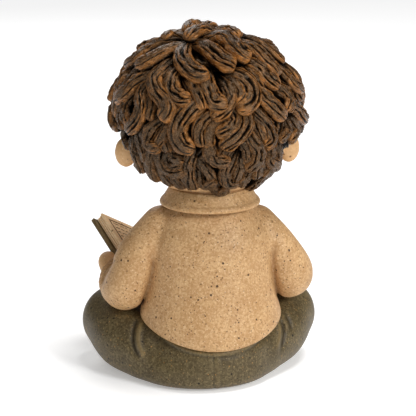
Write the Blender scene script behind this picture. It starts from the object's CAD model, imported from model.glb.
"""Looks of the figurine of a boy reading: curling locks, skin, a speckled shirt and trousers, and a book.

Lengths are in millimetres unless a name says otherwise, in the frame's own axes: the boy faces -Y, his
left is +X, and he sits on z = 0. Soft forms are clay: distances on a grid, blended and then skinned.
"""

import math
import random
from itertools import product

import bmesh
import bpy
import numpy as np
from mathutils import Matrix, Vector


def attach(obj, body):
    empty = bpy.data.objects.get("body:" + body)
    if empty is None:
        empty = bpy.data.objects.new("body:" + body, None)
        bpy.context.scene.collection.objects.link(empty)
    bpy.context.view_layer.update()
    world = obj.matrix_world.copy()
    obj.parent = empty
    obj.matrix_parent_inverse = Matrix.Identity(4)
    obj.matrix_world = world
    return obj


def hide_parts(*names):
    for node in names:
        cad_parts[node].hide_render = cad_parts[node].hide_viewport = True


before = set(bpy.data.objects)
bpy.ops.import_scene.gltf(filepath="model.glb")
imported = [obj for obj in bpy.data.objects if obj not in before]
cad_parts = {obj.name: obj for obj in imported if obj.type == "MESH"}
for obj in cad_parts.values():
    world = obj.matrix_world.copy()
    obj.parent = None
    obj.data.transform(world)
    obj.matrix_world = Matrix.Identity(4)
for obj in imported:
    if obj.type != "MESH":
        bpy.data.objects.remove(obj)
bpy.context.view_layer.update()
NODE = "boy_reading_figurine"
BODY = "root"
MM = 0.001

# The photograph's camera: degrees round from straight behind, degrees up, and distances
CAMERA_ROUND_DEG = 8
CAMERA_UP_DEG = 14
CAMERA_DISTANCE = 700.0
CAMERA_TARGET = Vector((0.8, 0.0, 69.8))
PIXEL = 0.4077
PICTURE_SIDE = 416
SENSOR = 36.0

# Head
HEAD_MIDDLE = Vector((0, -4, 108.3))
HEAD_RADII = Vector((33.5, 32.5, 34))
EAR_MIDDLE = Vector((33.6, -6, 92.8))
EAR_RADII = Vector((4.6, 3.4, 6.2))

# Hair
SCALP_MIDDLE = Vector((0, -3, 109.3))
SCALP_RADII = Vector((33.6, 32.6, 30.4))
CROWN_BACK_DEG = 22
CROWN_LEFT_DEG = 8
FACE_HALF_ANGLE_DEG = 52
HAIRLINE_DEG = 14
TEMPLE_DEG = -16
NAPE_DEG = -62
BEHIND_EARS_DEG = 105
TEMPLE_SHARE = 0.65
LOCK_ROOT_HEIGHT = -2.2
LOCK_RISE = 5.2
LOCK_RISE_SHARE = 0.77
LOCK_LAYER = 0.6
LOCK_LEAN = -0.55
LOCK_CURL = 2.1
LOCK_CURL_POWER = 1.5
LOCK_ROOT_WIDTH = 0.62
LOCK_FULL_SHARE = 0.5
LOCK_TIP_SHARE = 0.72
LOCK_TIP_POWER = 2.4
LEAST_CROWN_RADIUS = 0.25
HAIR_SEED = 133
ROUND_SPREAD_DEG = 3.5
ROOT_SPREAD_DEG = 2.5
BEND_RANGE = (0.6, 1.1)
SIZE_RANGE = (0.9, 1.12)
FLICK_RANGE = (-1.4, 1.0)

# Each row of locks: degrees from the crown to its roots, how many locks go round, length, width, thickness
LOCK_ROWS = (
    (3, 4, 14, 9.4, 5.4),
    (13, 8, 24, 10.2, 6.0),
    (32, 12, 26, 10.0, 6.4),
    (53, 16, 26, 9.6, 6.4),
    (74, 18, 24, 9.0, 6.0),
    (94, 18, 21, 8.4, 5.6),
    (112, 15, 17, 7.8, 5.2),
)
ROW_PIECES = (("hair_rows_high", (0, 1, 2)), ("hair_rows_middle", (3, 4)), ("hair_rows_low", (5, 6)))

# Where the photograph shows the hair, its own locks lie over the rows, which are sunk there
ROW_SINK = 2.6
FILL_LAYER = -1.5
EAR_ROOM = 10.5
NAPE_ROW = 6

# Locks that the photograph shows, from the crown down: width and lift, then the line of the middle in pixels
UPPER_LOCKS = (
    (5.0, 0.6, ((204, 27), (196, 25), (190, 25.5), (188, 29))),
    (6.6, 1.4, ((213, 31), (204, 31), (195, 34), (188, 39))),
    (5.0, 0.6, ((212, 32), (223, 31), (232, 32), (237, 36))),
    (5.0, 0.4, ((188, 38), (178, 36), (170, 36), (166, 39))),
    (5.0, 0.0, ((166, 40), (156, 43), (146, 47), (140, 51))),
    (6.0, 0.3, ((182, 37), (166, 42), (150, 50), (138, 59), (130, 64))),
    (6.6, 0.8, ((184, 43), (170, 50), (157, 58), (147, 63), (141, 64))),
    (8.4, 1.2, ((208, 37), (220, 37.5), (231, 45), (240, 54), (248, 58))),
    (8.2, 0.8, ((196, 43), (205, 48), (216, 57), (226, 64), (233, 67))),
    (8.0, 1.0, ((186, 43), (183, 52), (184, 62), (190, 70), (199, 75), (206, 73))),
    (4.8, 0.0, ((238, 36), (250, 39), (262, 46), (273, 54), (281, 61))),
    (7.2, 0.5, ((238, 41), (250, 48), (261, 58), (270, 68), (276, 75))),
    (5.2, -0.4, ((250, 54), (259, 62), (266, 69), (272, 77))),
    (7.2, 0.9, ((249, 61), (258, 70), (267, 79), (276, 86))),
    (6.0, 0.3, ((276, 66), (284, 76), (291, 84), (298, 89))),
    (4.8, -0.3, ((288, 84), (294, 91), (298, 97))),
    (7.6, 0.7, ((174, 58), (163, 68), (156, 79), (158, 91), (166, 101), (169, 110), (163, 118))),
    (7.2, 0.4, ((176, 67), (172, 79), (174, 91), (181, 99), (189, 99))),
    (8.0, 0.8, ((206, 74), (207, 86), (211, 97), (218, 104), (225, 104))),
    (7.0, -0.3, ((219, 78), (228, 88), (230, 99), (224, 109), (213, 117))),
    (8.2, 0.8, ((230, 72), (241, 77), (249, 87), (250, 98), (245, 105), (238, 107))),
    (5.5, -0.2, ((225, 76), (234, 84), (239, 95), (238, 104))),
    (7.0, 0.4, ((149, 74), (138, 83), (129, 92), (120, 98))),
    (4.4, 0.0, ((141, 68), (131, 80), (122, 90))),
    (5.2, -0.2, ((131, 68), (122, 80), (115, 92), (112, 100))),
    (7.2, 0.5, ((252, 86), (262, 97), (272, 107), (282, 116))),
    (5.8, 0.2, ((274, 86), (282, 92), (288, 101), (287, 110))),
    (6.4, 0.1, ((285, 96), (291, 106), (298, 114), (302, 118))),
    (6.6, 0.4, ((147, 82), (142, 94), (143, 108), (139, 120), (130, 129))),
    (5.5, -0.8, ((151, 90), (153, 104), (150, 118))),
    (7.0, -0.5, ((189, 76), (193, 86), (200, 96), (203, 108))),
    (6.0, -0.3, ((137, 92), (130, 101), (127, 112), (129, 122))),
    (6.0, -0.8, ((244, 70), (252, 80), (260, 90))),
)
LOWER_LOCKS = (
    (8.2, 0.7, ((199, 92), (199, 102), (190, 111), (181, 121), (178, 133), (184, 144), (193, 147))),
    (4.8, 0.0, ((184, 110), (175, 120), (173, 133), (178, 144))),
    (6.0, 0.0, ((216, 112), (205, 119), (199, 130), (202, 144))),
    (6.4, 0.2, ((231, 110), (234, 120), (227, 129), (218, 134))),
    (7.2, 0.7, ((247, 111), (247, 122), (240, 132), (229, 141), (224, 147))),
    (6.6, 0.4, ((252, 106), (260, 118), (267, 130), (270, 139), (265, 144))),
    (4.6, -0.5, ((253, 114), (257, 127), (262, 139))),
    (5.0, 0.0, ((284, 116), (286, 126), (284, 134), (279, 139))),
    (5.4, 0.1, ((289, 117), (293, 126), (293, 134), (289, 139))),
    (6.2, 0.4, ((165, 118), (155, 126), (150, 136), (152, 145), (159, 146))),
    (5.0, 0.2, ((170, 121), (166, 132), (159, 143))),
    (5.2, 0.0, ((120, 100), (114, 110), (113, 119), (117, 126))),
    (4.6, 0.0, ((130, 100), (123, 111), (122, 119), (124, 127))),
    (4.8, -0.6, ((127, 129), (127, 139), (131, 147))),
    (5.0, -0.5, ((139, 132), (143, 146), (147, 160))),
    (6.4, 0.8, ((209, 142), (210, 151), (217, 159), (228, 161))),
    (6.8, 0.4, ((244, 128), (252, 138), (257, 149), (255, 160), (247, 168))),
    (4.6, -0.4, ((241, 141), (246, 151), (247, 161))),
    (5.6, 0.1, ((272, 140), (270, 150), (269, 159), (275, 163))),
    (4.8, 0.0, ((279, 141), (277, 151), (276, 160), (276, 166))),
    (5.6, 0.3, ((160, 146), (160, 158), (166, 167), (176, 172), (183, 170))),
    (4.2, -0.2, ((168, 149), (167, 159), (173, 166), (181, 164))),
    (5.8, 0.1, ((153, 146), (151, 157), (152, 168), (157, 177))),
    (5.2, 0.0, ((133, 134), (135, 147), (139, 159), (142, 168))),
    (6.0, 0.2, ((192, 149), (190, 162), (188, 175), (194, 185))),
    (5.0, 0.2, ((197, 168), (200, 179), (207, 184), (213, 180))),
    (4.4, -0.1, ((198, 158), (205, 167), (212, 176))),
    (6.0, 0.3, ((236, 150), (230, 161), (225, 172), (228, 181), (236, 181))),
    (4.8, 0.0, ((241, 158), (239, 168), (236, 178))),
    (4.8, 0.0, ((217, 172), (214, 184), (219, 191), (225, 188))),
    (5.0, -0.1, ((161, 164), (165, 174), (171, 182))),
    (5.0, -0.1, ((172, 170), (176, 178), (183, 185))),
    (5.0, 0.0, ((250, 164), (246, 174), (240, 183))),
    (5.2, 0.0, ((261, 154), (259, 166), (255, 175))),
    (4.8, -0.1, ((270, 157), (269, 166), (263, 173))),
    (5.0, -0.6, ((177, 139), (172, 149), (175, 157), (183, 160))),
    (5.8, -0.3, ((222, 117), (213, 125), (208, 135), (209, 145))),
    (5.0, -0.5, ((160, 128), (165, 138), (168, 150))),
    (5.4, -0.5, ((232, 140), (226, 148), (220, 154))),
)
PHOTO_PIECES = (("hair_back_upper", UPPER_LOCKS), ("hair_back_lower", LOWER_LOCKS))
LOCK_HEIGHT = 2.8
LOCK_THICKNESS_SHARE = 0.92
ROOT_TUCK = 8.0
ROOT_SINK = 5.0
ROOT_SHARE = 0.55
TIP_LIFT = 1.2
TIP_REACH = 2.5
TIP_ROUNDNESS = 0.6
DARK_UNDER, LIGHT_OVER = 1.8, 5.8
BRUSH_LOW = 0.35
SHADOW_BELOW = 0.3
SCALP_CREST = 0.45
SCALP_EDGE_DEG = 9

# Locks over the temples: degrees round from the front, and degrees up at their tips
SIDE_LOCKS = ((54, -6), (62, -12), (70, -11), (79, -6), (88, -3), (97, -4), (66, 2), (75, 3), (92, 6))
SIDE_ROOT_DEG = 42
SIDE_SWAY_DEG = 5
SIDE_HEIGHT = 2.8
SIDE_WIDTH, SIDE_THICKNESS = 8.2, 5.6

# How finely a lock is modelled
COURSE_STATIONS = 60
PHOTO_FINENESS = (26, 11, 40)
ROW_FINENESS = (22, 10, 30)
UNDER_SIDES = 4
TOP_FROM_DEG = -20
LOCK_SQUARENESS = 0.85

# Shirt: half sizes from the neck down, as height, width, depth, and middle in Y
SHIRT_RINGS = (
    (75, 15, 13, 0),
    (71, 18, 15.5, 0),
    (66, 22, 18.5, 0),
    (58, 26, 22, 0),
    (46, 26.5, 24, 0),
    (34, 28, 26, 0.5),
    (24, 29.5, 28, 1),
    (12, 29.5, 28.5, 1),
)
HEM_SIDE_HEIGHT = 25
HEM_BACK_HEIGHT = 17.3
HEM_CURVE = 1.6
COLLAR_TOP = 79.5
COLLAR_BOTTOM = 73.2
COLLAR_TOP_RADIUS = 16.6
COLLAR_BOTTOM_RADIUS = 20.4

# Limbs: each stop is X, Y, Z and the radius there
LEFT_ARM = (
    (19.5, 0, 62.5, 9), (28.6, 2, 52, 9.4), (34.5, 1, 38.2, 9.4), (37.2, -9, 37.2, 7.4), (38.5, -18, 39, 6),
)
RIGHT_ARM = (
    (-19, 0, 61.5, 9), (-27, 2, 52, 9.4), (-33.4, -1, 40.5, 9.8), (-27.5, -15, 38, 8.2), (-19, -26, 37, 6.6),
)
LEFT_THIGH = ((25, 2, 11, 14.4), (33, -7, 14.2, 14.5), (37, -19, 18, 14.2))
RIGHT_THIGH = ((-18, 2, 11, 14), (-28, -8, 14.2, 14.2), (-33.2, -19, 18, 14.3))
LEFT_SHIN = ((37, -20, 18, 14.1), (22, -33, 16.5, 12), (3, -38, 15, 10.5), (-10, -38, 11.5, 8.5))
RIGHT_SHIN = ((-33.2, -20, 18, 14.2), (-20, -28, 14, 12), (-2, -30, 12, 10), (14, -34, 8, 8))
LEFT_FOOT = ((-10, -38, 8.5, 6.4), (-19, -40, 7, 5.8), (-26, -40.5, 6, 5.0))
RIGHT_FOOT = ((13, -38, 6.5, 6.2), (22, -42, 6, 5.6), (29, -42, 5.6, 4.9))
SEAT_MIDDLE = Vector((3.6, 0.8, 5))
SEAT_RADII = Vector((30.6, 27.4, 14.5))
WAIST_MIDDLE = Vector((1, 1, 13))
WAIST_RADII = Vector((27.5, 27, 16))
LAP_MIDDLE = Vector((1, -14, 17))
LAP_RADII = Vector((32, 20, 13))

# The open book
PAGE_WIDTH = 28.0
PAGE_HEIGHT = 29.0
PAGES_THICKNESS = 4.0
COVER_THICKNESS = 1.8
COVER_MARGIN = 1.0
BOOK_HALF_RISE_DEG = 31
BOOK_TILT_DEG = 27
BOOK_YAW_DEG = 22
BOOK_SPINE_MIDDLE = Vector((19.0, -44.0, 36.6))

# Creases of the trousers seen from behind, in the photograph's pixels
LEFT_FOLD = ((139, 317), (133.5, 331), (134, 346), (141, 360))
LEFT_FOLD_INNER = ((147, 327), (143, 338), (146, 350))
RIGHT_FOLD_OUTER = ((284, 313), (289.5, 324), (290, 334))
RIGHT_FOLD_INNER = ((279, 318), (283.5, 328), (283, 340), (280, 352))
SEAM_EDGES = (215.2, 220.8)
SEAM_FROM = 357

# Where the arms meet the back, and the small folds above, in the photograph's pixels
LEFT_VALLEY = ((151, 256), (152.5, 264), (150.5, 277), (146, 292), (141.5, 307))
RIGHT_VALLEY = ((273.5, 248), (273, 260), (274, 276), (277, 291), (281, 301))
LEFT_ARMPIT = ((147, 249), (151, 258), (152, 266))
LEFT_SLEEVE_FOLDS = (((112, 262), (106, 270), (102.5, 282)), ((108, 260), (101.5, 268), (99, 279)))
RIGHT_ARMPIT = ((278, 240), (275, 249), (274, 256))


# Clay: how far it is where there is none, the room round a form, and the steps of each grid

FAR = 30.0
MARGIN = 6.0
HAND_GRID = 0.5
FOOT_GRID = 0.45
TROUSERS_GRID = 0.65
COLLAR_GRID = 0.36
SHIRT_GRID = 0.64
HEAD_GRID = 0.67
SCALP_GRID = 1.2


def soft_min(a, b, blend):
    if blend <= 0:
        return np.minimum(a, b)
    share = np.clip(0.5 + 0.5 * (a - b) / blend, 0, 1)
    return a + (b - a) * share - blend * share * (1 - share)


def smooth_step(low, high, value):
    share = np.clip((value - low) / (high - low), 0, 1)
    return share * share * (3 - 2 * share)


class Clay:
    """Clay on a grid of distances from its surface, less than zero inside."""

    def __init__(self, low, high, step):
        self.low, self.step = np.array(low, float), step
        counts = np.ceil((np.array(high) - self.low) / step).astype(int) + 1
        self.axes = [self.low[k] + step * np.arange(counts[k]) for k in range(3)]
        self.field = np.full(counts, FAR, np.float32)
        self.presses = []

    def window(self, low, high):
        """The grid between two corners, as slices, and its X, Y and Z."""
        part = []
        for k in range(3):
            first = np.searchsorted(self.axes[k], low[k] - MARGIN)
            last = np.searchsorted(self.axes[k], high[k] + MARGIN)
            part.append(slice(first, last))
        x, y, z = (self.axes[k][part[k]] for k in range(3))
        return tuple(part), x[:, None, None], y[None, :, None], z[None, None, :]

    def add(self, form, blend=0.5):
        low, high, distance = form
        part, x, y, z = self.window(low, high)
        self.field[part] = soft_min(self.field[part], distance(x, y, z), blend)

    def cut(self, form, blend=0.5):
        low, high, distance = form
        part, x, y, z = self.window(low, high)
        self.field[part] = -soft_min(-self.field[part], distance(x, y, z), blend)

    def keep(self, distance, blend=0.5):
        """Cuts away all that is outside a form with no ends."""
        part, x, y, z = self.window(self.low, self.low + FAR * 100)
        self.field = -soft_min(-self.field, -distance(x, y, z), blend).astype(np.float32)

    def press(self, dent):
        """Presses the surface in by what dent gives, or out where that is negative."""
        part, x, y, z = self.window(self.low, self.low + FAR * 100)
        self.field = (self.field + dent(x, y, z)).astype(np.float32)
        self.presses.append(dent)

    def skin(self, passes=3):
        """Points and four-sided faces of the surface, by surface nets, with how far each point is pressed."""
        field, inside = self.field, self.field < 0
        shape = np.array(field.shape)
        corners = list(product((0, 1), repeat=3))
        count = sum(inside[tuple(slice(c, n - 1 + c) for c, n in zip(corner, shape))].astype(np.int8)
                    for corner in corners)
        active = (count > 0) & (count < 8)
        cells = np.argwhere(active)
        number = np.full(active.shape, -1)
        number[active] = np.arange(len(cells))
        total, hits = np.zeros((len(cells), 3)), np.zeros(len(cells))
        for a in corners:
            for k in range(3):
                if a[k]:
                    continue
                start = cells + a
                end = start.copy()
                end[:, k] += 1
                fa, fb = field[tuple(start.T)], field[tuple(end.T)]
                crosses = (fa < 0) != (fb < 0)
                share = np.where(crosses, fa / np.where(crosses, fa - fb, 1), 0)
                point = np.array(a, float) + share[:, None] * np.eye(3)[k]
                total += point * crosses[:, None]
                hits += crosses
        points = self.low + (cells + total / hits[:, None]) * self.step
        faces = []
        for k in range(3):
            i, j = (k + 1) % 3, (k + 2) % 3
            here = np.take(inside, range(shape[k] - 1), axis=k)
            there = np.take(inside, range(1, shape[k]), axis=k)
            for leaving in (True, False):
                edges = np.argwhere((here & ~there) if leaving else (~here & there))
                edges = edges[(edges[:, i] > 0) & (edges[:, j] > 0)]
                edges = edges[(edges[:, i] < shape[i] - 1) & (edges[:, j] < shape[j] - 1)]
                ring = []
                for di, dj in ((1, 1), (0, 1), (0, 0), (1, 0)):
                    cell = edges.copy()
                    cell[:, i] -= di
                    cell[:, j] -= dj
                    ring.append(number[tuple(cell.T)])
                faces.append(np.stack(ring if leaving else ring[::-1], 1))
        faces = np.concatenate(faces)
        points = relaxed(points, faces, passes)
        pressed = np.zeros(len(points))
        for dent in self.presses:
            pressed += dent(points[:, 0], points[:, 1], points[:, 2])
        return points, faces, pressed


def relaxed(points, faces, passes):
    """Each point moves half way to the middle of its neighbours, again and again."""
    start = np.concatenate([faces[:, k] for k in range(4)])
    end = np.concatenate([faces[:, (k + 1) % 4] for k in range(4)])
    count = np.bincount(start, minlength=len(points)) + 1e-9
    for _ in range(passes):
        mean = np.stack([np.bincount(start, points[end, k], len(points)) / count for k in range(3)], 1)
        points = (points + mean) / 2
    return points


def ball(middle, radii, turn=None):
    """An ellipsoid, with its lowest and highest corner."""
    middle, radii = np.array(middle, float), np.array(radii, float)
    reach = radii if turn is None else np.full(3, radii.max())

    def distance(x, y, z):
        p = [x - middle[0], y - middle[1], z - middle[2]]
        if turn is not None:
            p = [sum(turn[j][k] * p[j] for j in range(3)) for k in range(3)]
        near = np.sqrt(sum((a / r) ** 2 for a, r in zip(p, radii)))
        slope = np.sqrt(sum((a / r**2) ** 2 for a, r in zip(p, radii)))
        return near * (near - 1) / np.maximum(slope, 1e-6)

    return middle - reach, middle + reach, distance


def smooth_path(stops, steps):
    """Points with their radii on one smooth curve through the stops."""
    ends = [stops[0], *stops, stops[-1]]
    found = []
    for a, b, c, d in zip(ends, ends[1:], ends[2:], ends[3:]):
        for k in range(steps):
            t = k / steps
            point = []
            for p, q, r, s in zip(a, b, c, d):
                slope, bow, turn = r - p, 2 * p - 5 * q + 4 * r - s, 3 * q - p - 3 * r + s
                point.append(0.5 * (2 * q + slope * t + bow * t**2 + turn * t**3))
            found.append(point)
    found.append(list(stops[-1]))
    return found


def limb(stops, steps=5, ripple=None):
    """A limb with round ends. ripple gives how far its skin stands out, from the share of its length."""
    path = np.array(smooth_path(stops, steps), float)
    lengths = np.linalg.norm(np.diff(path[:, :3], axis=0), axis=1)
    starts = np.concatenate([[0], np.cumsum(lengths)])

    def distance(x, y, z):
        shape = np.broadcast_shapes(x.shape, y.shape, z.shape)
        best, at = np.full(shape, 1e3), np.zeros(shape)
        for k, length in enumerate(lengths):
            if length < 1e-6:
                continue
            a, b = path[k], path[k + 1]
            d = b - a
            t = np.clip(((x - a[0]) * d[0] + (y - a[1]) * d[1] + (z - a[2]) * d[2]) / length**2, 0, 1)
            gap = np.sqrt((x - a[0] - t * d[0])**2 + (y - a[1] - t * d[1])**2 + (z - a[2] - t * d[2])**2)
            gap = gap - (a[3] + t * d[3])
            nearer = gap < best
            best = np.where(nearer, gap, best)
            if ripple:
                at = np.where(nearer, starts[k] + t * length, at)
        return best - ripple(at / starts[-1]) if ripple else best

    return (path[:, :3] - path[:, 3:]).min(0), (path[:, :3] + path[:, 3:]).max(0), distance


def curve_gap(points, x, y):
    """The distance in a plane from a line through the points."""
    best = 1e3
    for (ax, ay), (bx, by) in zip(points, points[1:]):
        dx, dy = bx - ax, by - ay
        t = np.clip(((x - ax) * dx + (y - ay) * dy) / (dx * dx + dy * dy), 0, 1)
        best = np.minimum(best, np.hypot(x - ax - t * dx, y - ay - t * dy))
    return best


def camera_axes():
    """The directions from the target back to the camera, to the picture's right and up it."""
    a, e = math.radians(CAMERA_ROUND_DEG), math.radians(CAMERA_UP_DEG)
    back = Vector((math.sin(a) * math.cos(e), math.cos(a) * math.cos(e), math.sin(e)))
    right = Vector((0, 0, 1)).cross(back).normalized()
    return back, right, back.cross(right)


def seen(x, y, z):
    """Where the camera sees a point, in the photograph's pixels."""
    x, y, z = x - CAMERA_TARGET.x, y - CAMERA_TARGET.y, z - CAMERA_TARGET.z
    back, right, up = camera_axes()
    nearer = CAMERA_DISTANCE / (CAMERA_DISTANCE - (x * back.x + y * back.y + z * back.z))
    across = (x * right.x + y * right.y + z * right.z) * nearer
    high = (x * up.x + y * up.y + z * up.z) * nearer
    return PICTURE_SIDE / 2 + across / PIXEL, PICTURE_SIDE / 2 - high / PIXEL


# Pieces

def place_piece(name, points, faces, material, values=()):
    """A smooth piece of the figure from points in millimetres, with numbers for each point."""
    mesh = bpy.data.meshes.new(name)
    mesh.from_pydata((np.asarray(points) * MM).tolist(), [], [list(map(int, face)) for face in faces])
    mesh.polygons.foreach_set("use_smooth", [True] * len(mesh.polygons))
    for key, numbers in dict(values).items():
        mesh.attributes.new(key, "FLOAT", "POINT").data.foreach_set("value", np.asarray(numbers, np.float32))
    mesh.materials.append(material)
    return settle(bpy.data.objects.new(name, mesh))


def settle(piece):
    if piece.name not in bpy.context.scene.collection.objects:
        bpy.context.scene.collection.objects.link(piece)
    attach(piece, BODY)
    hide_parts(NODE)
    return piece


# Hair

def crown_frame():
    """The crown's direction from the middle of the head, and the two directions square to it."""
    back, left = math.radians(CROWN_BACK_DEG), math.radians(CROWN_LEFT_DEG)
    crown = Vector((math.sin(left), math.sin(back), math.cos(back))).normalized()
    behind = (Vector((0, 1, 0)) - crown * crown.y).normalized()
    return crown, behind, behind.cross(crown)


def scalp_point(out, height):
    """The point this high above the scalp, in a direction out of the head."""
    return SCALP_MIDDLE + Vector(a * b for a, b in zip(out, SCALP_RADII)) + out * height


def on_head(polar, round_crown, height):
    """A point this high above the scalp, and the direction out of the head there."""
    crown, behind, beside = crown_frame()
    level = behind * math.cos(round_crown) + beside * math.sin(round_crown)
    out = crown * math.cos(polar) + level * math.sin(polar)
    return scalp_point(out, height), out


def hairline(from_front):
    """The lowest angle up that has hair, this many degrees round from the front."""
    share = (from_front - FACE_HALF_ANGLE_DEG) / (BEHIND_EARS_DEG - FACE_HALF_ANGLE_DEG)
    fall = np.clip((share - TEMPLE_SHARE) / (1 - TEMPLE_SHARE), 0, 1)
    return np.where(share < 0, HAIRLINE_DEG, TEMPLE_DEG + (NAPE_DEG - TEMPLE_DEG) * fall)


def has_hair(out):
    """Whether a lock may lie in this direction from the head's middle: not over face, ears or neck."""
    up = math.degrees(math.asin(max(-1, min(1, out.z))))
    return up > hairline(math.degrees(math.atan2(abs(out.x), -out.y)))


def lock_course(root_deg, round_deg, length, side, bend, flick, layer, stations):
    """Stations of a lock as point, direction out of the head, and share of the length."""
    scalp = (SCALP_RADII.x + SCALP_RADII.z) / 2
    polar, turn = math.radians(root_deg), math.radians(round_deg)
    course = []
    step = length / (stations - 1)
    for i in range(stations):
        share = i / (stations - 1)
        rise = LOCK_RISE * math.sin(math.pi / 2 * min(1, share / LOCK_RISE_SHARE))
        course.append((*on_head(polar, turn, layer + LOCK_ROOT_HEIGHT + rise + flick * share**3), share))
        heading = side * bend * (LOCK_LEAN + LOCK_CURL * share**LOCK_CURL_POWER)
        polar += math.cos(heading) * step / scalp
        turn += math.sin(heading) * step / (scalp * max(LEAST_CROWN_RADIUS, math.sin(polar)))
    return course


def wave(chance, shares, pieces=3, fastest=5.0):
    """A smooth random line along the shares, mostly between -1 and 1."""
    line = np.zeros_like(shares)
    for _ in range(pieces):
        line += np.cos(2 * math.pi * (chance.uniform(0.6, fastest) * shares + chance.random()))
    return line / math.sqrt(pieces)


def lock_skin(course, width, thickness, chance, fineness, tip_share=LOCK_TIP_SHARE):
    """Points, faces and paint of one grooved lock. Fineness is its rings, those of its tip, and sides."""
    body_rings, tip_rings, top_sides = fineness
    spots = np.array([point for point, _, _ in course])
    outs = np.array([out for _, out, _ in course])
    at = np.array([share for _, _, share in course])
    tip = tip_share + (1 - tip_share) * np.sin(np.linspace(0, math.pi / 2, tip_rings + 1)[1:])
    shares = np.concatenate([np.linspace(0, tip_share, body_rings), tip])
    spots = np.stack([np.interp(shares, at, spots[:, k]) for k in range(3)], 1)
    outs = np.stack([np.interp(shares, at, outs[:, k]) for k in range(3)], 1)
    ahead = np.gradient(spots, axis=0)
    ahead[-3:] = ahead[-4]
    across = np.cross(ahead, outs)
    across /= np.linalg.norm(across, axis=1, keepdims=True)
    lift = np.cross(across, ahead)
    lift /= np.linalg.norm(lift, axis=1, keepdims=True)

    start = np.minimum(1, LOCK_ROOT_WIDTH + (1 - LOCK_ROOT_WIDTH) * shares / LOCK_FULL_SHARE)
    into_tip = np.clip((shares - tip_share) / (1 - tip_share), 0, 1)
    full = start * np.maximum(0.03, np.sqrt(np.maximum(0, 1 - into_tip**LOCK_TIP_POWER)))

    top_from, top_to = math.radians(TOP_FROM_DEG), math.radians(180 - TOP_FROM_DEG)
    over = np.linspace(top_from, top_to, top_sides)
    under = np.linspace(top_to, top_from + 2 * math.pi, UNDER_SIDES + 2)[1:-1]
    angles = np.concatenate([over, under])
    strand = np.clip((angles - top_from) / (top_to - top_from), 0, 1)[None, :]
    top_side = (angles <= top_to + 1e-6)[None, :].astype(float)

    placed = strand + 0.035 * wave(chance, shares, fastest=2.2)[:, None]
    grooves = 3 if width > 5.9 else 2
    valley, burr = np.zeros_like(placed), np.zeros_like(placed)
    for j in range(grooves):
        middle = 0.24 + 0.52 * (j + 0.5 + chance.uniform(-0.16, 0.16)) / grooves
        middle = middle + 0.022 * wave(chance, shares, fastest=4)[:, None]
        thin = max(chance.uniform(0.016, 0.028), 0.8 / top_sides)
        thin = thin * (1 + 0.35 * wave(chance, shares, fastest=8)[:, None])
        broken = smooth_step(-1.2, -0.3, wave(chance, shares, fastest=6.0))[:, None]
        depth = chance.uniform(0.6, 1.2) * broken * smooth_step(1.0, 0.3 + 0.7 * tip_share, shares)[:, None]
        gap = np.abs(placed - middle)
        valley += depth * np.exp(-(gap / thin) ** 2)
        burr += broken * np.exp(-((gap - 2.0 * thin) / thin) ** 2)
    fine = np.cos(2 * math.pi * (15 * placed + 0.8 * wave(chance, shares)[:, None]))
    lumps = 0
    for fastest, ridges in ((7, 2.2), (9, 3.7)):
        lengthways = wave(chance, shares, fastest=fastest)[:, None]
        lumps = lumps + lengthways * np.cos(2 * math.pi * (ridges * placed + chance.random()))
    room = full[:, None] * top_side
    edge = smooth_step(0.0, 0.1, strand) * smooth_step(1.0, 0.9, strand)
    push = room * edge * (-1.0 * valley + 0.16 * burr + 0.06 * fine + 0.2 * lumps)

    side_x = np.sign(np.cos(angles)) * np.abs(np.cos(angles)) ** LOCK_SQUARENESS
    side_y = np.sign(np.sin(angles)) * np.abs(np.sin(angles)) ** LOCK_SQUARENESS
    half = (full * width / 2)[:, None] * side_x[None, :]
    high = (full * thickness / 2)[:, None] * side_y[None, :]
    outward_x, outward_y = np.cos(angles)[None, :], np.sin(angles)[None, :]
    points = (
        spots[:, None, :]
        + across[:, None, :] * (half + push * outward_x)[..., None]
        + lift[:, None, :] * (high + push * outward_y)[..., None]
    )
    over_scalp = np.linalg.norm((points - np.array(SCALP_MIDDLE)) / np.array(SCALP_RADII), axis=2) - 1
    lit = BRUSH_LOW + (1 - BRUSH_LOW) * smooth_step(-0.7, 0.3, outs[:, 2])[:, None]
    crest = np.clip(1.1 - 2.3 * valley, 0, 1) * smooth_step(-0.35, 0.45, outward_y) * top_side
    crest = crest * smooth_step(DARK_UNDER, LIGHT_OVER, over_scalp * SCALP_RADII.z)
    brushed = 0.10 + 0.35 * burr + 0.10 * fine + 0.15 * lumps
    brushed = brushed + 0.6 * smooth_step(tip_share, 1, shares)[:, None]
    brushed = brushed + 0.95 * np.abs(np.cos(angles))[None, :] ** 3 - 0.12 - 0.8 * valley
    length = np.linalg.norm(np.diff(spots, axis=0), axis=1).sum()
    paint = {
        "crest": crest,
        "brushed": np.clip(brushed * lit, 0, 1) * crest,
        "tone": chance.random() * np.broadcast_to(lit, placed.shape),
        "across": placed * (width + thickness),
        "along": np.broadcast_to(shares[:, None] * length, placed.shape),
    }
    paint = {key: values.ravel() for key, values in paint.items()}
    return points.reshape(-1, 3), tube_faces(len(shares), len(angles)), paint


def tube_faces(rings, sides):
    """Faces of a tube over rings of points, closed at both ends."""
    faces = []
    for ring in range(rings - 1):
        for k in range(sides):
            n = (k + 1) % sides
            low, high = ring * sides, (ring + 1) * sides
            faces.append((low + k, low + n, high + n, high + k))
    faces.append(tuple(range(sides - 1, -1, -1)))
    faces.append(tuple((rings - 1) * sides + k for k in range(sides)))
    return faces


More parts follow.
